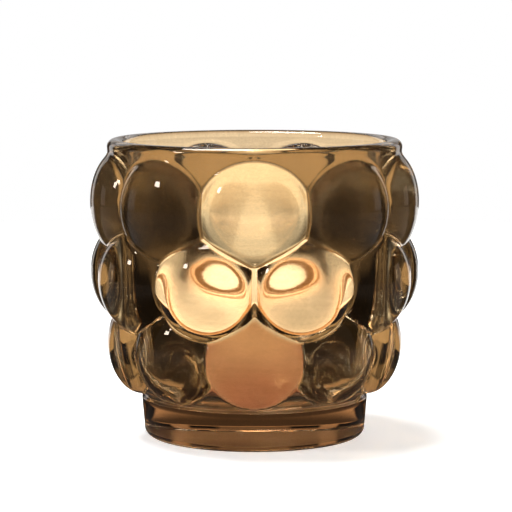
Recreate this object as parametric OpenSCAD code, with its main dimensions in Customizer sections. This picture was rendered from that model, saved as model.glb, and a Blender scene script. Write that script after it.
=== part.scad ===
// Tealight holder: a thick pressed glass votive with three staggered rows of solid glass bubbles,
// and the tealight that stands on its floor.
// Origin: middle of the base, on the table. +Z is up, and -Y is the front, where a bubble of the
// upper and the lower row faces the viewer.

/* [Glass body] */
// Height of the glass from the table to the top of the rim
holder_h = 84; // [82:0.5:90]
// Outer radius of the collar at the rim
collar_r = 41.5; // [41:0.25:43]
// Outer radius of the body where it starts to curve in
wall_r = 41.2; // [40.8:0.1:41.5]
// Height at which the body starts to curve in towards the base
knee_z = 78; // [76:0.5:79]
// Radius of the arc along which the body curves in
wall_arc_r = 240; // [220:5:270]
// Thickness of the glass at the rim
rim_t = 4.3; // [3.5:0.1:5]
// Thickness of the glass around the body, without the bubbles
wall_t = 4.8; // [4:0.1:5.5]

/* [Bubbles] */
// Bubbles in each row
bubbles = 9; // [9:1:10]
// Radius of the upper bubbles
upper_r = 17.4; // [17:0.1:18]
// Distance of the upper bubbles' centres from the axis
upper_reach = 29.4; // [29:0.1:30]
// Height of the upper bubbles' centres
upper_z = 66.8; // [66:0.1:67.5]
// Radius of the middle bubbles
middle_r = 15.8; // [15.4:0.1:16.4]
// Distance of the middle bubbles' centres from the axis
middle_reach = 31.5; // [31:0.1:32]
// Height of the middle bubbles' centres
middle_z = 45.9; // [45.4:0.1:46.4]
// Radius of the lower bubbles
lower_r = 15.8; // [15.2:0.1:16.2]
// Distance of the lower bubbles' centres from the axis
lower_reach = 26; // [25.6:0.1:26.6]
// Height of the lower bubbles' centres
lower_z = 26.6; // [26.2:0.1:27.2]

/* [Base] */
// Height of the base ring, up to the groove
base_h = 11.4; // [10.5:0.1:12]
// Outer radius of the base ring at the groove
base_top_r = 32; // [31:0.25:33]
// Outer radius of the base ring near the table
base_low_r = 31.2; // [30:0.2:31.8]
// Radius of the rounded edge at the table
base_round = 2.6; // [2:0.2:4]
// Depth of the V groove above the base ring
groove_depth = 0.8; // [0.4:0.1:1.2]
// Height of the glass floor inside, where the tealight stands
floor_z = 14.2; // [12:0.2:15]
// Radius of the rounded corner between floor and inner wall
floor_round = 4; // [3:0.5:5]
// Outer radius of the shallow recess under the base
recess_r = 23; // [20:0.5:25]
// Depth of the shallow recess under the base
recess_depth = 1.2; // [0.6:0.1:2]

/* [Tealight] */
// Outer radius of the clear cup at its top
cup_r = 19.2; // [18.8:0.1:19.4]
// How much smaller the cup's radius is at its foot
cup_draft = 0.5; // [0.2:0.1:0.8]
// Height of the cup
cup_h = 27; // [27:0.5:28]
// Thickness of the cup's wall and floor
cup_t = 0.5; // [0.4:0.05:0.6]
// Width of the bead around the cup's rim
bead_w = 0.4; // [0.2:0.05:0.5]
// Height of the bead around the cup's rim
bead_h = 1; // [0.8:0.1:1.4]
// Height of the wax above the inside of the cup's floor
wax_h = 26.2; // [22:0.2:26.2]
// Gap between the wax and the cup's wall
wax_gap = 0.3; // [0.3:0.05:0.5]
// Radius of the wick
wick_r = 0.8; // [0.6:0.05:1]
// Length of the wick that stands above the wax
wick_out = 7; // [4:0.5:9]
// Radius of the wick sustainer's disc
sustainer_r = 6.5; // [5:0.5:8]
// Height of the wick sustainer's neck
neck_h = 5; // [3:0.5:6]

/* [Hidden] */
$fn = 96;

// Half the angle between two bubbles: each row is turned by this much against the next.
stagger = 180 / bubbles;
// Each row: sphere radius, distance from the axis, height, turn about the axis
rows = [
    [upper_r, upper_reach, upper_z, 0],
    [middle_r, middle_reach, middle_z, stagger],
    [lower_r, lower_reach, lower_z, 0],
];
// The rim is half round.
rim_round = rim_t / 2;
collar_low_z = holder_h - rim_round;
inner_top_r = collar_r - rim_t;
// Half width of the V groove where it is cut into the base ring's outside
groove_half = 0.6;
body_low_z = base_h + 2 * groove_half;
// Steps along each curved stretch of an outline
arc_steps = 10;
// How far a cutting solid stands out of what it cuts
cut = 3;
// Thickness of the sustainer's disc and neck
plate_t = 0.3;
// Bend where the cup's floor turns up, with the wax inside it
cup_bend = 1.5;
// How far the wax sinks from its edge to its middle
wax_dip = 0.8;
// Play between the wax and the sustainer inside it, and under the sustainer
play = 0.02;
cup_low_r = cup_r - cup_draft;
cup_top_z = floor_z + cup_h;
cup_floor_z = floor_z + cup_t;
wax_top_z = cup_floor_z + wax_h;
plate_z = cup_floor_z + play;

// Radius of the body's outside at height z: a straight draft above the knee, an arc below it
function arc_drop(z) = wall_arc_r - sqrt(pow(wall_arc_r, 2) - pow(knee_z - z, 2));
function draft(z) = (z - knee_z) / (collar_low_z - knee_z);
function outside(z) = z > knee_z
    ? wall_r + (collar_r - wall_r) * draft(z)
    : wall_r - arc_drop(z);
// Radius of the inside wall at height z, from the knee down
function inside(z) = wall_r - wall_t - arc_drop(z);
function steps(low, high) = [for (i = [0:arc_steps]) low + (high - low) * i / arc_steps];

// Outline of the glass without bubbles, from the axis out, up and back to the axis
module body_outline() {
    // Base ring with its rounded edge at the table
    polygon([
        [0, 0],
        [base_low_r - base_round, 0],
        [base_low_r, base_round],
        [base_top_r, base_h],
        [base_top_r, body_low_z],
        [0, body_low_z],
    ]);
    translate([base_low_r - base_round, base_round]) circle(base_round);
    // Body and collar
    polygon(concat(
        [[0, base_h], [outside(body_low_z), base_h]],
        [for (z = steps(body_low_z, knee_z)) [outside(z), z]],
        [[collar_r, collar_low_z], [0, collar_low_z]]
    ));
    // Rim
    translate([collar_r - rim_round, collar_low_z]) circle(rim_round);
}

// Outline of the hollow inside, open at the top
module hollow_outline() {
    corner_z = floor_z + floor_round;
    corner_r = inside(corner_z) - floor_round;
    polygon(concat(
        [[0, floor_z]],
        [for (i = [0:arc_steps])
            let (a = -90 + 90 * i / arc_steps)
            [corner_r + floor_round * cos(a), corner_z + floor_round * sin(a)]],
        [for (z = steps(corner_z, knee_z)) if (z > corner_z) [inside(z), z]],
        [[inner_top_r, collar_low_z], [inner_top_r, holder_h + cut], [0, holder_h + cut]]
    ));
}

// One row of solid bubbles about the axis
module bubble_row(row) {
    for (i = [0:bubbles - 1])
        rotate([0, 0, row[3] + i * 2 * stagger - 90])
            translate([row[1], 0, row[2]])
                sphere(row[0]);
}

// V groove that parts the base ring from the body
module groove() {
    reach = groove_depth + 2;
    half = reach * groove_half / groove_depth;
    tip = [base_top_r - groove_depth, base_h + groove_half];
    rotate_extrude()
        polygon([tip, tip + [reach, -half], tip + [reach, half]]);
}

module glass_holder() {
    color([0.62, 0.42, 0.18])
        difference() {
            union() {
                rotate_extrude() body_outline();
                for (row = rows) bubble_row(row);
            }
            rotate_extrude() hollow_outline();
            groove();
            // Shallow recess, so that the glass stands on a ring
            translate([0, 0, -cut]) cylinder(r = recess_r, h = cut + recess_depth);
        }
}

// Outer radius of the cup's wall at height z
function cup_outside(z) = cup_low_r
    + cup_draft * (z - floor_z - cup_bend) / (cup_h - cup_bend);

// Moulded clear cup: floor, bend, wall and rim bead are one piece.
module tealight_cup() {
    wall_low_z = floor_z + cup_bend;
    bead_low_z = cup_top_z - bead_h;
    color([0.86, 0.88, 0.9])
        rotate_extrude() {
            // Floor
            translate([0, floor_z]) square([cup_low_r - cup_bend, cup_t]);
            // Bend between floor and wall
            translate([cup_low_r - cup_bend, wall_low_z])
                intersection() {
                    difference() {
                        circle(cup_bend);
                        circle(cup_bend - cup_t);
                    }
                    translate([0, -cup_bend]) square(cup_bend);
                }
            // Wall, with the rim bead turned outwards
            polygon([
                [cup_low_r - cup_t, wall_low_z],
                [cup_low_r, wall_low_z],
                [cup_outside(bead_low_z), bead_low_z],
                [cup_r + bead_w, bead_low_z + bead_w],
                [cup_r + bead_w, cup_top_z - bead_w / 2],
                [cup_r + bead_w / 2, cup_top_z],
                [cup_r - cup_t, cup_top_z],
            ]);
        }
}

// Wax: a block that fills the cup, with room for the sustainer and the wick
module wax() {
    inset = cup_t + wax_gap;
    low_r = cup_low_r - inset;
    top_r = cup_outside(wax_top_z) - inset;
    // The surface climbs at the cup's wall, and is level in the middle.
    climb = wax_dip * 0.6;
    pool_r = top_r * 0.35;
    color([0.96, 0.93, 0.85])
        difference() {
            rotate_extrude()
                polygon([
                    [0, cup_floor_z],
                    [low_r - cup_bend, cup_floor_z],
                    [low_r, cup_floor_z + cup_bend],
                    [top_r, wax_top_z],
                    [top_r - wax_dip, wax_top_z - climb],
                    [pool_r, wax_top_z - wax_dip],
                    [0, wax_top_z - wax_dip],
                ]);
            translate([0, 0, cup_floor_z - cut])
                cylinder(r = sustainer_r + play, h = cut + plate_t + 2 * play);
            translate([0, 0, cup_floor_z])
                cylinder(r = wick_r + plate_t + play, h = neck_h + 2 * play);
            cylinder(r = wick_r, h = holder_h);
        }
}

// Wick: from the sustainer's disc, through the neck and the wax
module wick() {
    low_z = plate_z + plate_t;
    tip_z = wax_top_z - wax_dip + wick_out - wick_r;
    color([0.2, 0.17, 0.14]) {
        translate([0, 0, low_z]) cylinder(r = wick_r, h = tip_z - low_z);
        translate([0, 0, tip_z]) sphere(wick_r);
    }
}

// Sustainer: a stamped disc with a tall neck that grips the wick
module wick_sustainer() {
    color([0.7, 0.7, 0.72])
        difference() {
            translate([0, 0, plate_z]) {
                cylinder(r = sustainer_r, h = plate_t);
                cylinder(r = wick_r + plate_t, h = neck_h);
            }
            translate([0, 0, plate_z + plate_t]) cylinder(r = wick_r, h = neck_h + cut);
        }
}

glass_holder();
tealight_cup();
wax();
wick();
wick_sustainer();
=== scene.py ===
"""Pressed glass tealight holder with a lit tealight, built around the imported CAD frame."""

import math

import bpy
import numpy as np
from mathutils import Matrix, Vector


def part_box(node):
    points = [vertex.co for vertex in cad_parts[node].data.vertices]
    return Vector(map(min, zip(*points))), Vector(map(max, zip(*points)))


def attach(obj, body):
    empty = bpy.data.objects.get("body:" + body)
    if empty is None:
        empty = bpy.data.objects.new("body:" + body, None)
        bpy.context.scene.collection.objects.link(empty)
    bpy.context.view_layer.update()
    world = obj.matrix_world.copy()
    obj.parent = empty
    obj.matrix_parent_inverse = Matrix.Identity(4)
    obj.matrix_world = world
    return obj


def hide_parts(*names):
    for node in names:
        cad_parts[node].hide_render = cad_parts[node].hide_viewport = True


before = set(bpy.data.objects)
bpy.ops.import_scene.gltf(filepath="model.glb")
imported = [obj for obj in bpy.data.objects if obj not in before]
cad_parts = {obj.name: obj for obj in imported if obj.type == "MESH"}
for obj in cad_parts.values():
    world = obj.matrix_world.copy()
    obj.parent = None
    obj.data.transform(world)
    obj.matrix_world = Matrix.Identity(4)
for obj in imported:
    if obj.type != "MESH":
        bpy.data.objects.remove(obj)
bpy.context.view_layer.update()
MM = 0.001
scene = bpy.context.scene


def box_mm(node):
    """Lowest z, highest z and outer radius of a CAD node, in millimetres."""
    low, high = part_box(node)
    return low.z / MM, high.z / MM, high.x / MM


# ---------------------------------------------------------------- mesh helpers

def new_mesh(name, verts, faces):
    mesh = bpy.data.meshes.new(name)
    mesh.from_pydata([tuple(v) for v in verts], [], [tuple(f) for f in faces])
    mesh.validate()
    mesh.update()
    mesh.shade_smooth()
    piece = bpy.data.objects.new(name, mesh)
    scene.collection.objects.link(piece)
    return piece


def ring(radius, z, theta):
    """One ring of points about the axis, from millimetres to metres."""
    radius = np.broadcast_to(radius, theta.shape)
    z = np.broadcast_to(z, theta.shape)
    return np.stack([radius * np.cos(theta), radius * np.sin(theta), z], 1) * MM


def loft(rows, closed=False):
    """Points and faces between rings with the same number of points each.

    The last ring joins the first if closed; else a pole closes each end.
    """
    columns, count = len(rows[0]), len(rows)
    verts = [tuple(v) for v in np.concatenate(rows)]
    faces = []
    for i in range(count if closed else count - 1):
        a, b = i * columns, ((i + 1) % count) * columns
        for j in range(columns):
            k = (j + 1) % columns
            faces.append((a + j, a + k, b + k, b + j))
    if not closed:
        for end, start in ((0, 0), (count - 1, (count - 1) * columns)):
            verts.append(tuple(np.mean(rows[end], axis=0)))
            pole = len(verts) - 1
            for j in range(columns):
                pair = (start + j, start + (j + 1) % columns)
                faces.append((pole, *(pair[::-1] if end == 0 else pair)))
    return verts, faces


def arc(centre_r, centre_z, radius, start, end, steps):
    """Points (r, z) along an arc; angles in degrees, 0 points away from the axis."""
    angles = np.radians(np.linspace(start, end, steps))
    return [(centre_r + radius * math.cos(a), centre_z + radius * math.sin(a)) for a in angles]


def lathe(name, outline, columns=128, wobble=None, closed=False):
    """A turned piece from an outline of (r, z) points in millimetres."""
    theta = np.arange(columns) * 2 * math.pi / columns
    rows = []
    for r, z in outline:
        dr, dz = wobble(theta, r, z) if wobble else (0, 0)
        rows.append(ring(r + dr, z + dz, theta))
    return new_mesh(name, *loft(rows, closed))


def smoothstep(x, low, high):
    t = np.clip((x - low) / (high - low), 0, 1)
    return t * t * (3 - 2 * t)


# ---------------------------------------------------------------- the glass, in millimetres

BUBBLES = 9
STAGGER = math.pi / BUBBLES
# Each row of bubbles: radius across, depth, distance of the crown from the axis, height of the
# middle, tilt towards the table and turn about the axis
ROWS = [
    dict(side=14.8, depth=8.75, crown=46.4, height=66.6, tilt=0.0, turn=0.0),
    dict(side=14.7, depth=11.1, crown=47.1, height=45.8, tilt=0.04, turn=STAGGER),
    dict(side=13.2, depth=8.4, crown=41.6, height=25.6, tilt=0.14, turn=0.0),
]
HOLDER_H = box_mm("glass_holder")[1]
COLLAR_R, RIM_T = 41.5, 4.3
WALL_R, WALL_T, WALL_ARC_R = 41.2, 4.8, 240.0
KNEE_Z = 78.0
COLLAR_LOW_Z = HOLDER_H - RIM_T / 2
BASE_H, BASE_TOP_R, BASE_LOW_R, BASE_ROUND = 11.4, 32.0, 31.2, 2.6
GROOVE_Z, GROOVE_R, GROOVE_HALF = 12.0, 31.2, 0.35
FLOOR_Z = box_mm("tealight_cup")[0]
FLOOR_ROUND = 4.0
RECESS_R, RECESS_DEPTH, RECESS_ROUND = 23.0, 1.2, 0.4
# Widths over which neighbouring bubbles, and bubbles and wall, melt into each other
BUBBLE_BLEND, WALL_BLEND = 1.1, 1.4
MISS = -50.0
# Points around the glass, and rings up its body
COLUMNS, BODY_RINGS = 324, 172


def draft(z):
    return np.clip((np.asarray(z, float) - KNEE_Z) / (COLLAR_LOW_Z - KNEE_Z), 0, 1)


def wall_outside(z):
    below = np.clip(KNEE_Z - np.asarray(z, float), 0, None)
    drop = WALL_ARC_R - np.sqrt(WALL_ARC_R ** 2 - below ** 2)
    return WALL_R + (COLLAR_R - WALL_R) * draft(z) - drop


def wall_inside(z):
    return wall_outside(z) - WALL_T + (WALL_T - RIM_T) * draft(z)


def bubble_reach(theta, z, row, index):
    """Distance from the axis to one flattened bubble's surface at each angle and height.

    It is MISS where a level ray from the axis passes the bubble by.
    """
    azimuth = row["turn"] + index * 2 * STAGGER - math.pi / 2
    out, up = math.cos(row["tilt"]), -math.sin(row["tilt"])
    centre_r, centre_z = row["crown"] - row["depth"] * out, row["height"]
    ray_out = np.cos(theta - azimuth)
    lift = z - centre_z
    flat = 1 / row["side"] ** 2
    deep = 1 / row["depth"] ** 2 - flat
    ray_along = ray_out * out
    start_along = -centre_r * out + lift * up
    a = deep * ray_along ** 2 + flat
    b = 2 * (deep * ray_along * start_along - flat * ray_out * centre_r)
    c = deep * start_along ** 2 + flat * (centre_r ** 2 + lift ** 2) - 1
    disc = b * b - 4 * a * c
    hit = (disc > 0) & (ray_out > 0)
    return np.where(hit, (-b + np.sqrt(np.where(hit, disc, 0))) / (2 * a), MISS)


def smooth_max(a, b, width):
    h = np.clip(width - np.abs(a - b), 0, None) / width
    return np.maximum(a, b) + h * h * width / 4


def body_reach(theta, z):
    """Outer surface of the body, with the moulded fillets between the bubbles."""
    bubbles = np.full(theta.shape, MISS)
    for row in ROWS:
        for i in range(BUBBLES):
            bubbles = smooth_max(bubbles, bubble_reach(theta, z, row, i), BUBBLE_BLEND)
    return smooth_max(bubbles, wall_outside(z) + 0 * theta, WALL_BLEND)


def underside():
    """Outline of the underside: recess, its rounded step and the foot ring."""
    points = [(r, RECESS_DEPTH) for r in (6, 12, 18, 21.5)]
    points += arc(RECESS_R - RECESS_ROUND, RECESS_DEPTH - RECESS_ROUND, RECESS_ROUND, 90, 0, 5)
    points += arc(RECESS_R + RECESS_ROUND, RECESS_ROUND, RECESS_ROUND, 180, 270, 5)
    return points + [(r, 0.0) for r in (24.5, 26.5, 28)]


def base_ring():
    """Outline of the base ring: rounded edge at the table, drafted side and soft groove."""
    points = arc(BASE_LOW_R - BASE_ROUND, BASE_ROUND, BASE_ROUND, -90, 0, 11)
    groove_low = BASE_H - GROOVE_HALF
    for z in np.linspace(BASE_ROUND, groove_low, 8)[1:]:
        t = (z - BASE_ROUND) / (BASE_H - BASE_ROUND)
        points.append((BASE_LOW_R + (BASE_TOP_R - BASE_LOW_R) * t, z))
    for t in np.linspace(0.15, 1, 6):
        z = groove_low + (GROOVE_Z - groove_low) * t
        points.append((GROOVE_R + (BASE_TOP_R - GROOVE_R) * (1 - smoothstep(t, 0, 1)), z))
    return points


def hollow():
    """Outline of the inside, from below the rim down to the middle of the floor."""
    corner_z = FLOOR_Z + FLOOR_ROUND
    points = [(float(wall_inside(z)), z) for z in np.linspace(COLLAR_LOW_Z, corner_z, 42)[1:]]
    corner_r = points[-1][0] - FLOOR_ROUND
    points += arc(corner_r, corner_z, FLOOR_ROUND, 0, -90, 10)[1:]
    return points + [(r, FLOOR_Z) for r in (19, 14, 8, 3)]


def build_glass():
    """One closed skin: underside, base ring, body with bubbles, rim, inside wall and floor."""
    theta = np.arange(COLUMNS) * 2 * math.pi / COLUMNS
    rows, tint = [], []

    def add(points, coated):
        for r, z in points:
            rows.append(ring(r, z, theta))
            tint.append(coated)

    add(underside(), 0.0)
    add(base_ring(), 1.0)
    for z in np.linspace(GROOVE_Z + 0.2, COLLAR_LOW_Z, BODY_RINGS):
        grow = 0.25 + 0.75 * smoothstep(z, GROOVE_Z, GROOVE_Z + 1.2)
        reach = body_reach(theta, np.full_like(theta, z))
        rows.append(ring(GROOVE_R + (reach - GROOVE_R) * grow, z, theta))
        tint.append(1.0)
    # The coating ends on the inner half of the rim.
    rim = arc(COLLAR_R - RIM_T / 2, COLLAR_LOW_Z, RIM_T / 2, 0, 180, 19)[1:]
    for i, point in enumerate(rim):
        add([point], float(1 - smoothstep(i, 9, 16)))
    add(hollow(), 0.0)
    piece = new_mesh("pressed_glass_body", *loft(rows))
    ground = [float(i < len(underside())) for i in range(len(rows))]
    for name, rings in (("coating", tint), ("ground", ground)):
        layer = piece.data.color_attributes.new(name, "FLOAT_COLOR", "POINT")
        points = [COLUMNS] * len(rows) + [1, 1]
        values = np.repeat(np.array(rings + [rings[0], rings[-1]]), points)
        layer.data.foreach_set("color", np.repeat(values, 4).astype(np.float32))
    return piece


# ---------------------------------------------------------------- the tealight, in millimetres

CUP_LOW, CUP_TOP, CUP_R = box_mm("tealight_cup")
WAX_LOW, WAX_TOP, WAX_R = box_mm("wax")
WICK_LOW, WICK_TIP, WICK_R = box_mm("wick")
PLATE_LOW, NECK_TOP, PLATE_R = box_mm("wick_sustainer")
CUP_T, CUP_BEND, CUP_BEAD = 0.5, 1.5, 0.4
# Radius of the rounded edges of the cup's rim, outside and inside
RIM_OUT, RIM_IN = 0.12, 0.15
POOL_DEPTH = 0.8


def build_cup():
    """Moulded cup: stacking ring under the floor, rounded bend, drafted wall and rim bead."""
    top_r = CUP_R - CUP_BEAD
    low_r = top_r - 0.5
    bend_r, bend_z = low_r - CUP_BEND, CUP_LOW + CUP_BEND
    # The middle of the floor is raised, so that the cup stands on a ring.
    raised = CUP_LOW + 0.12
    outline = [(2, raised), (9, raised), (13.5, raised)]
    outline += arc(14.3, CUP_LOW + 0.3, 0.3, 180, 270, 5)
    outline += arc(bend_r, bend_z, CUP_BEND, -90, 0, 9)
    # Close rings at both ends of the wall keep it straight where smooth shading meets the curves.
    wall = [0, 0.004, *np.linspace(0.05, 0.95, 16), 0.99, 0.995, 1]
    wall_top = CUP_TOP - 0.35
    sides = [(low_r + (top_r - low_r) * t, bend_z + (wall_top - bend_z) * t) for t in wall]
    outline += sides[1:]
    outline += arc(top_r + CUP_BEAD - RIM_OUT, CUP_TOP - RIM_OUT, RIM_OUT, -100, 90, 9)
    outline += arc(top_r - CUP_T + RIM_IN, CUP_TOP - RIM_IN, RIM_IN, 90, 180, 5)
    outline += [(r - CUP_T, z) for r, z in sides[::-1]]
    outline += arc(bend_r, bend_z, CUP_BEND - CUP_T, 0, -90, 9)[1:]
    outline += [(12, CUP_LOW + CUP_T), (7, CUP_LOW + CUP_T), (2, CUP_LOW + CUP_T)]
    return lathe("tealight_cup_shell", outline, 160)


def wax_wobble(theta, r, z):
    """Uneven edge of the melt pool, and the faint ripples of poured wax."""
    if z < WAX_TOP - 1.4:
        return 0.03 * np.sin(5 * theta + z), 0
    shore = math.exp(-((r - WAX_R * 0.84) / 1.6) ** 2)
    ripple = (0.35 * np.sin(3 * theta + 0.6) + 0.25 * np.sin(7 * theta + 2.1)
              + 0.15 * np.sin(13 * theta))
    return ripple * shore, 0.12 * ripple * shore


def build_wax():
    """Wax with a lip left standing at the wall, a melt pool and the pool's climb up the wick."""
    low_r, high_r = WAX_R - 0.45, WAX_R - 0.15
    bend_z, lip_z = WAX_LOW + CUP_BEND, WAX_TOP - 0.45
    pool_z = WAX_TOP - POOL_DEPTH
    outline = [(PLATE_R + 0.4, WAX_LOW), (low_r - CUP_BEND - 1, WAX_LOW)]
    outline += arc(low_r - CUP_BEND, bend_z, CUP_BEND, -90, 0, 7)
    outline += [(low_r + (high_r - low_r) * t, bend_z + (lip_z - bend_z) * t)
                for t in np.linspace(0, 1, 16)[1:]]
    outline += arc(high_r - 0.45, lip_z, 0.45, 0, 110, 7)
    # From the lip down to the pool
    outline += [(WAX_R * share, WAX_TOP - drop)
                for share, drop in ((0.93, 0.12), (0.89, 0.4), (0.85, 0.68))]
    outline += [(WAX_R * share, pool_z) for share in (0.8, 0.72, 0.6, 0.48, 0.36, 0.25, 0.16)]
    # Up the wick a little, and down inside along the wick, the neck and the disc
    outline += [(WICK_R + gap, pool_z + rise)
                for gap, rise in ((0.9, 0.05), (0.45, 0.22), (0.15, 0.6))]
    grip_r, neck_r, plate_r = WICK_R * 0.8, WICK_R + 0.35, PLATE_R + 0.1
    outline += [(grip_r, pool_z + 0.62), (grip_r, WAX_LOW + 6), (neck_r, WAX_LOW + 5.4),
                (neck_r, WAX_LOW + 0.4), (plate_r, WAX_LOW + 0.4), (plate_r, WAX_LOW + 0.05)]
    return lathe("wax_fill", outline, 160, wax_wobble, closed=True)


def tube(path, radius, sides=10):
    """Closed tube along a path of points in millimetres; radius is one number per point."""
    path = np.asarray(path, float)
    tangents = np.gradient(path, axis=0)
    rows = []
    angles = np.arange(sides) * 2 * math.pi / sides
    side = np.array([1.0, 0.0, 0.0])
    for point, tangent, r in zip(path, tangents, radius):
        tangent = tangent / np.linalg.norm(tangent)
        side = side - tangent * side.dot(tangent)
        side = side / np.linalg.norm(side)
        across = np.cross(tangent, side)
        spokes = np.outer(np.cos(angles), side) + np.outer(np.sin(angles), across)
        rows.append((point + r * spokes) * MM)
    return loft(rows)


def build_wick():
    """Three strands braided round each other, leaning over a little where the tip has burnt."""
    strands, steps, pitch = 3, 150, 3.4
    strand_r, sway = WICK_R * 0.52, WICK_R * 0.42
    low, high = WICK_LOW + strand_r, WICK_TIP - 0.5
    verts, faces = [], []
    for strand in range(strands):
        t = np.linspace(0, 1, steps)
        z = low + (high - low) * t
        phase = 2 * math.pi * (z - low) / pitch + 2 * math.pi * strand / strands
        lean = 1.5 * smoothstep(z, WAX_TOP - 0.5, high) ** 2
        path = np.stack([sway * np.sin(phase) + lean, sway * np.sin(2 * phase) * 0.8, z], 1)
        char = smoothstep(z, high - 3, high)
        radius = strand_r * (1 + 0.25 * char * np.sin(17 * z + strand) - 0.2 * char)
        more, quads = tube(path, radius)
        faces += [tuple(i + len(verts) for i in face) for face in quads]
        verts += more
    return new_mesh("braided_wick", verts, faces)


def build_sustainer():
    """Stamped disc with a pressed ring, a rounded turn into the neck, and the neck's crimp."""
    t = 0.3
    bore = WICK_R * 0.98
    outline = [(bore, PLATE_LOW), (3.2, PLATE_LOW), (PLATE_R - 0.3, PLATE_LOW)]
    outline += arc(PLATE_R - 0.15, PLATE_LOW + t / 2, t / 2, -90, 90, 7)
    outline += [(4.6, PLATE_LOW + t), (4.2, PLATE_LOW + t - 0.08), (3.8, PLATE_LOW + t)]
    outline += arc(bore + t + 0.5, PLATE_LOW + t + 0.5, 0.5, -90, -180, 6)
    outline += [(bore + t, NECK_TOP - 2.4), (bore + t - 0.12, NECK_TOP - 1.7),
                (bore + t, NECK_TOP - 1.0)]
    outline += arc(bore + t / 2, NECK_TOP - t / 2, t / 2, 0, 180, 7)
    return lathe("wick_sustainer_stamping", outline, 72, closed=True)


# ---------------------------------------------------------------- materials

class Nodes:
    """Short ways to add shader nodes to a tree."""

    def __init__(self, tree):
        self.tree = tree

    def node(self, kind, inputs=None, **settings):
        """A node with its inputs linked where the value is a socket, else set."""
        node = self.tree.nodes.new(kind)
        for key, value in settings.items():
            setattr(node, key, value)
        for key, value in (inputs or {}).items():
            if isinstance(value, bpy.types.NodeSocket):
                self.tree.links.new(value, node.inputs[key])
            else:
                node.inputs[key].default_value = value
        return node

    def math(self, operation, a, b=0.0):
        return self.node("ShaderNodeMath", {0: a, 1: b}, operation=operation).outputs[0]

    def remap(self, value, low, high, to_low, to_high, smooth=False):
        inputs = {"Value": value, "From Min": low, "From Max": high,
                  "To Min": to_low, "To Max": to_high}
        kind = "SMOOTHSTEP" if smooth else "LINEAR"
        return self.node("ShaderNodeMapRange", inputs, interpolation_type=kind).outputs[0]

    def axes(self, vector):
        return self.node("ShaderNodeSeparateXYZ", {"Vector": vector}).outputs

    def length(self, vector):
        return self.node("ShaderNodeVectorMath", {0: vector}, operation="LENGTH").outputs["Value"]


class Shader(Nodes):
    """A material with a Principled shader, and short ways to add the nodes used here."""

    def __init__(self, name, **values):
        self.mat = bpy.data.materials.new(name)
        self.mat.use_nodes = True
        super().__init__(self.mat.node_tree)
        self.bsdf = self.tree.nodes["Principled BSDF"]
        for key, value in values.items():
            self.bsdf.inputs[key.replace("_", " ")].default_value = value
        self.place = self.node("ShaderNodeTexCoord").outputs["Object"]

    def noise(self, size_mm, detail=2.0, stretch=(1, 1, 1)):
        """Noise from 0 to 1 whose features are about size_mm across."""
        scaled = self.node("ShaderNodeMapping", {"Vector": self.place, "Scale": stretch})
        inputs = {"Vector": scaled.outputs[0], "Scale": 1 / (size_mm * MM), "Detail": detail}
        return self.node("ShaderNodeTexNoise", inputs).outputs["Fac"]

    def painted(self, layer):
        """The shade of a colour layer of the mesh."""
        return self.node("ShaderNodeVertexColor", layer_name=layer).outputs["Color"]

    def mix(self, factor, a, b, blend="MIX"):
        inputs = {0: factor, 6: a, 7: b}
        return self.node("ShaderNodeMix", inputs, data_type="RGBA", blend_type=blend).outputs[2]

    def mix_value(self, factor, a, b):
        """a where the factor is 0, b where it is 1."""
        return self.node("ShaderNodeMix", {0: factor, 2: a, 3: b}).outputs[0]

    def height(self, low_mm, high_mm):
        """0 at one height above the table, 1 at another, at rest."""
        return self.remap(self.axes(self.place)["Z"], low_mm * MM, high_mm * MM, 0.0, 1.0)

    def link(self, value, key):
        self.tree.links.new(value, self.bsdf.inputs[key])

    def bump(self, *layers):
        """Layers of (height, depth in mm), laid over each other."""
        normal = None
        for value, depth_mm in layers:
            inputs = {"Height": value, "Distance": depth_mm * MM, "Strength": 1.0}
            if normal:
                inputs["Normal"] = normal
            normal = self.node("ShaderNodeBump", inputs).outputs[0]
        self.link(normal, "Normal")


def rgb(red, green, blue):
    return (red, green, blue, 1.0)


# Two crossings of the coated surface let through this much of each colour.
COATING = (0.30, 0.158, 0.052)
# The coat is thicker and redder at the foot.
FOOT_COATING = (0.27, 0.115, 0.040)
INSIDE_ROUGH, GROUND_ROUGH = 0.05, 0.25
# How brightly the painted glow of the lit wax, and of the cup's rim, shines
WAX_GLOW, RIM_GLOW = 1.15, 0.8


def glass_material():
    """Clear glass with a smoky amber coat outside: fine grain, faint clouds and drawn streaks."""
    s = Shader("amber_pressed_glass", Transmission_Weight=1.0, IOR=1.5, Roughness=0.0,
               Specular_Tint=rgb(0.50, 0.40, 0.33))
    coating, ground = s.painted("coating"), s.painted("ground")
    # The plunger leaves the inside less polished, and the flame a grainy haze around it.
    inside = s.math("SUBTRACT", 1.0, coating)
    around_flame = s.math("MULTIPLY", s.height(50.0, 57.0), s.height(81.0, 76.0))
    haze = s.math("MULTIPLY", around_flame, s.remap(s.noise(0.6, 3.0), 0.3, 0.7, 0.05, 0.15))
    inner = s.math("MULTIPLY", inside, s.math("ADD", haze, INSIDE_ROUGH))
    s.link(s.math("ADD", inner, s.remap(ground, 0, 1, 0.0, GROUND_ROUGH)), "Roughness")
    grain = s.remap(s.noise(0.45, 3.0), 0.25, 0.75, 0.84, 1.14)
    cloud = s.remap(s.noise(9.0, 2.0), 0.3, 0.7, 0.92, 1.07)
    streak = s.remap(s.noise(14.0, 4.0, (1, 1, 14)), 0.3, 0.7, 0.93, 1.06)
    depth = s.math("MULTIPLY", s.math("MULTIPLY", grain, cloud), streak)
    shade = s.mix(s.height(22.0, 12.0), rgb(*COATING), rgb(*FOOT_COATING))
    tint = s.mix(1.0, shade, depth, "MULTIPLY")
    s.link(s.mix(coating, rgb(1, 1, 1), tint), "Base Color")
    s.bump((s.noise(9.0, 1.0), 0.03), (s.noise(2.2, 1.0, (1, 1, 3)), 0.001))
    return s.mat


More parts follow.
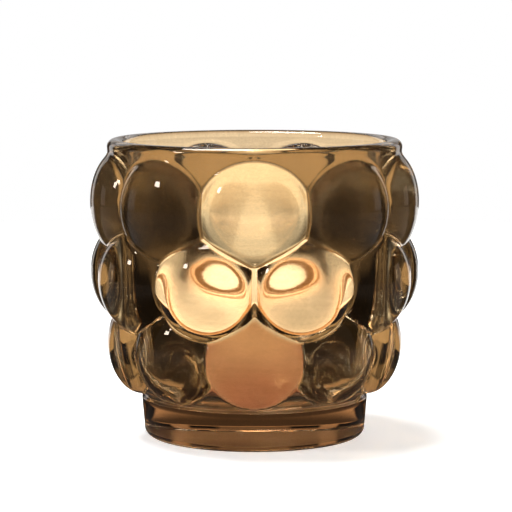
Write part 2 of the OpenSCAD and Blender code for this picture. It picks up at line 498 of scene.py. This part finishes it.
def cup_material():
    """Clear moulded plastic with faint flow lines, and a painted glow at the rim."""
    s = Shader("clear_cup_plastic", Transmission_Weight=1.0, IOR=1.49, Roughness=0.03)
    flow = s.noise(5.0, 2.0, (1, 1, 0.2))
    s.link(s.mix(flow, rgb(0.93, 0.94, 0.95), rgb(1, 1, 1)), "Base Color")
    s.bump((flow, 0.01))
    # Painted glow: the clear rim is given a caramel emission, standing in for the flame's light
    # piped to its edge.
    s.link(s.mix(flow, rgb(0.62, 0.30, 0.12), rgb(0.78, 0.42, 0.18)), "Emission Color")
    rim = s.height(CUP_TOP - 0.9, CUP_TOP - 0.3)
    s.link(s.math("MULTIPLY", rim, RIM_GLOW), "Emission Strength")
    return s.mat


def wax_material():
    """Paraffin wax with a painted glow for the flame's light through it: near white at the top,
    copper at the foot.
    """
    s = Shader("glowing_wax", IOR=1.44)
    mottle = s.noise(3.5, 4.0)
    s.link(s.mix(mottle, rgb(0.90, 0.85, 0.74), rgb(0.97, 0.94, 0.87)), "Base Color")
    s.link(s.remap(s.height(WAX_TOP - 1.2, WAX_TOP - 0.3), 0, 1, 0.06, 0.42), "Roughness")
    # Painted glow: the emission colour runs by height, near white at the top and copper at the
    # foot.
    ramp = s.node("ShaderNodeValToRGB", {"Fac": s.height(WAX_LOW, WAX_TOP)})
    stops = [(0.0, (0.34, 0.13, 0.08)), (0.2, (0.56, 0.25, 0.15)), (0.42, (0.92, 0.58, 0.34)),
             (0.8, (0.98, 0.92, 0.76)), (1.0, (1.0, 0.97, 0.86))]
    for _ in stops[2:]:
        ramp.color_ramp.elements.new(0.5)
    for element, (position, _) in zip(ramp.color_ramp.elements, stops):
        element.position = position
    for element, (_, color) in zip(ramp.color_ramp.elements, stops):
        element.color = rgb(*color)
    glow_mottle = s.remap(mottle, 0.3, 0.7, 0.9, 1.08)
    s.link(s.mix(1.0, ramp.outputs["Color"], glow_mottle, "MULTIPLY"), "Emission Color")
    # The pool on top is thin and clear, and its painted glow is less bright than the painted glow
    # of the wax's side.
    spot = s.axes(s.place)
    flat = s.node("ShaderNodeCombineXYZ", {"X": spot["X"], "Y": spot["Y"]}).outputs[0]
    rim = s.remap(s.length(flat), WAX_R * 0.82 * MM, WAX_R * 0.95 * MM, 0.0, 1.0, True)
    pool_glow = s.remap(s.noise(6.0, 3.0), 0.3, 0.7, 0.30, 0.52)
    s.link(s.mix_value(rim, pool_glow, WAX_GLOW), "Emission Strength")
    s.bump((s.noise(1.8, 3.0), 0.03))
    return s.mat


def wick_material():
    """Cotton braid, waxed below and charred to the tip, with a last ember at the very end."""
    s = Shader("braided_cotton")
    fibre = s.noise(0.25, 3.0, (1, 1, 0.3))
    cotton = s.mix(fibre, rgb(0.62, 0.56, 0.44), rgb(0.85, 0.80, 0.68))
    char = s.mix(fibre, rgb(0.012, 0.010, 0.009), rgb(0.05, 0.042, 0.036))
    s.link(s.mix(s.height(WAX_TOP - 0.5, WAX_TOP + 1.8), cotton, char), "Base Color")
    s.link(s.remap(fibre, 0.3, 0.7, 0.65, 0.95), "Roughness")
    ember = s.remap(s.height(WICK_TIP - 1.2, WICK_TIP), 0.3, 1, 0.0, 1.5, True)
    s.link(s.mix(fibre, rgb(1.0, 0.22, 0.04), rgb(1.0, 0.45, 0.10)), "Emission Color")
    s.link(ember, "Emission Strength")
    s.bump((fibre, 0.12))
    return s.mat


def sustainer_material():
    """Tinned sheet with fine drawing marks and a few dull patches."""
    s = Shader("tinned_sheet", Metallic=1.0)
    marks = s.noise(0.3, 2.0, (1, 1, 6))
    dull = s.noise(2.0, 3.0)
    s.link(s.mix(marks, rgb(0.58, 0.58, 0.59), rgb(0.78, 0.78, 0.79)), "Base Color")
    s.link(s.remap(dull, 0.3, 0.7, 0.22, 0.45), "Roughness")
    s.bump((marks, 0.01))
    return s.mat


def dress(piece, material, node, body):
    piece.data.materials.append(material)
    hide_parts(node)
    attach(piece, body)


dress(build_glass(), glass_material(), "glass_holder", "holder")
dress(build_cup(), cup_material(), "tealight_cup", "tealight")
dress(build_wax(), wax_material(), "wax", "candle")
dress(build_wick(), wick_material(), "wick", "candle")
dress(build_sustainer(), sustainer_material(), "wick_sustainer", "candle")


# ---------------------------------------------------------------- stage

CAMERA_LENS = 172.8
CAMERA_AT, CAMERA_AIM = (0.0004, -0.69, 0.1288), (0.0004, 0, 0.0507)
# Light panels, alike on both sides: nearest and farthest edge in degrees around the object from
# straight behind it, lowest and highest edge in degrees above the horizon, and brightness.
# A nearest edge of -5 or a farthest of 185 is out of reach, so the panel has no edge there.
PANELS = [
    (-5, 12, -12, 15, 0.50),   # straight behind
    (-5, 10, -14, -5, 0.90),   # its brighter foot
    (11, 24, 9, 16, 0.40),     # above the dark gaps beside it
    (25, 36, -12, 16, 1.10),   # beside the gaps
    (-5, 38, 17, 30, 1.20),    # ceiling
    (66, 82, -5, 12, 0.60),    # far to the sides
    (95, 185, -14, 50, 0.15),  # the room in front
]
ROOM_LIGHT = 0.02
# How much the table glows of itself for the eye, so that it is white
TABLE_GLOW = 0.58
# Painted light for the glass: the table's glow is painted in a fan behind the object, dark beside
# the fan and dim in front.
TABLE_R, FAN_HALF, SIDE_START = 0.62, 41, 68
FAN_LIGHT, SIDE_LIGHT = 1.6, 0.35
# Painted shadow: close to the glass, where its own shadow falls, the table's glow is dimmer: this
# much of the light, up to the first radius.
NEAR_SHARE, NEAR_R, FAR_R = 0.12, 0.07, 0.16
# The flame's spheres: height of the middle above the wick's tip, radius, both in millimetres,
# and brightness
FLAME = [(14.0, 9.0, 0.30), (13.5, 6.0, 0.20), (13.0, 4.2, 0.30),
         (12.8, 2.8, 0.60), (12.8, 1.6, 2.00)]


class Stage(Nodes):
    """Short ways to add the nodes that the world and the table share."""

    def step(self, value, edge, soft, rising=True):
        """A soft step at an edge: from 0 up to 1 if rising, else from 1 down to 0."""
        ends = (0.0, 1.0) if rising else (1.0, 0.0)
        return self.remap(value, edge - soft, edge + soft, *ends, True)

    def between(self, value, low, high, soft_low, soft_high):
        """1 between two edges and 0 outside them."""
        rise = self.step(value, low, soft_low)
        return self.math("MULTIPLY", rise, self.step(value, high, soft_high, rising=False))

    def around(self, x, y):
        """Degrees around the object from straight behind, 0 to 180 on either side."""
        return self.math("DEGREES", self.math("ABSOLUTE", self.math("ARCTAN2", x, y)))

    def for_eye(self, eye, glass, output):
        """One shader for what the eye sees directly, another for what the glass and lights see."""
        ray = self.node("ShaderNodeLightPath").outputs["Is Camera Ray"]
        mixed = self.node("ShaderNodeMixShader", {0: ray, 1: glass, 2: eye})
        self.tree.links.new(mixed.outputs[0], output)


def build_table():
    """White disc; what the glass sees of it is a painted glow, brightest in a fan behind the
    object and dimmed by a painted shadow close to it.
    """
    theta = np.arange(96) * 2 * math.pi / 96
    table = new_mesh("table", ring(TABLE_R / MM, 0.0, theta), [range(len(theta))])
    s = Shader("white_table", Roughness=0.6, Emission_Strength=TABLE_GLOW,
               Emission_Color=rgb(1, 1, 1))
    s.link(s.mix(s.noise(40.0, 2.0), rgb(0.80, 0.80, 0.80), rgb(0.82, 0.82, 0.82)), "Base Color")
    stage = Stage(s.tree)
    place = stage.axes(s.place)
    angle = stage.around(place["X"], place["Y"])
    # Painted shadow: the glow that the glass sees is dimmed close to the glass.
    away = stage.step(stage.length(s.place), (NEAR_R + FAR_R) / 2, (FAR_R - NEAR_R) / 2)
    share = stage.math("ADD", stage.math("MULTIPLY", away, 1 - NEAR_SHARE), NEAR_SHARE)
    # Painted light: a bright fan behind the object, and a dimmer glow far to the sides.
    fan = stage.math("MULTIPLY", stage.step(angle, FAN_HALF, 3, rising=False), FAN_LIGHT)
    side = stage.math("MULTIPLY", stage.step(angle, SIDE_START, 3), SIDE_LIGHT)
    lit = stage.math("MULTIPLY", stage.math("ADD", fan, side), share)
    glow = stage.node("ShaderNodeEmission", {"Strength": stage.math("ADD", lit, ROOM_LIGHT)})
    output = s.tree.nodes["Material Output"].inputs["Surface"]
    stage.for_eye(s.bsdf.outputs[0], glow.outputs[0], output)
    table.data.materials.append(s.mat)


def aim(thing, location, target):
    thing.location = location
    thing.rotation_mode = "QUATERNION"
    thing.rotation_quaternion = (Vector(target) - Vector(location)).to_track_quat("-Z", "Y")
    scene.collection.objects.link(thing)


def build_camera():
    data = bpy.data.cameras.new("camera")
    data.lens, data.sensor_width, data.clip_start = CAMERA_LENS, 36, 0.01
    camera = bpy.data.objects.new("camera", data)
    aim(camera, CAMERA_AT, CAMERA_AIM)
    scene.camera = camera


def build_world():
    """White around the object for the eye; for the glass, a dark studio with light panels."""
    world = bpy.data.worlds.new("studio")
    scene.world = world
    world.use_nodes = True
    stage = Stage(world.node_tree)
    direction = stage.axes(stage.node("ShaderNodeTexCoord").outputs["Generated"])
    angle = stage.around(direction["X"], direction["Y"])
    rise = stage.math("DEGREES", stage.math("ARCSINE", direction["Z"]))
    strength = ROOM_LIGHT
    for near, far, bottom, top, light in PANELS:
        across = stage.between(angle, near, far, 1.5, 1.5)
        up = stage.between(rise, bottom, top, 1, 1.5)
        panel = stage.math("MULTIPLY", stage.math("MULTIPLY", across, up), light)
        strength = stage.math("ADD", panel, strength)
    studio = stage.node("ShaderNodeBackground", {"Color": rgb(1, 1, 1), "Strength": strength})
    white = stage.node("ShaderNodeBackground", {"Color": rgb(1, 1, 1)})
    output = stage.tree.nodes["World Output"].inputs["Surface"]
    stage.for_eye(white.outputs[0], studio.outputs[0], output)


def softbox(name, location, target, size, energy, shape="SQUARE"):
    light = bpy.data.lights.new(name, "AREA")
    light.shape, light.size, light.energy = shape, size, energy
    aim(bpy.data.objects.new(name, light), location, target)


def flame():
    """The flame's light, riding on the candle: overlapping spheres, brightest in the core."""
    for i, (rise, radius, brightness) in enumerate(FLAME):
        light = bpy.data.lights.new(f"flame_{i}", "POINT")
        light.shadow_soft_size = radius * MM
        light.energy = brightness * (2 * math.pi * radius * MM) ** 2
        light.color = (1, 1, 0.90)
        lamp = bpy.data.objects.new(f"flame_{i}", light)
        lamp.location = (0, 0, (WICK_TIP + rise) * MM)
        scene.collection.objects.link(lamp)
        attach(lamp, "candle")


build_table()
build_camera()
build_world()
softbox("overhead", (-0.16, 0.05, 0.75), (0, 0, 0), 0.4, 12, shape="DISK")
softbox("window_left", (-0.95, -0.45, 0.62), (0, 0, 0.05), 0.16, 4)
flame()

scene.view_settings.view_transform = "Standard"
scene.cycles.max_bounces = 24
scene.cycles.transmission_bounces = 24
scene.cycles.glossy_bounces = 8
scene.cycles.sample_clamp_indirect = 8
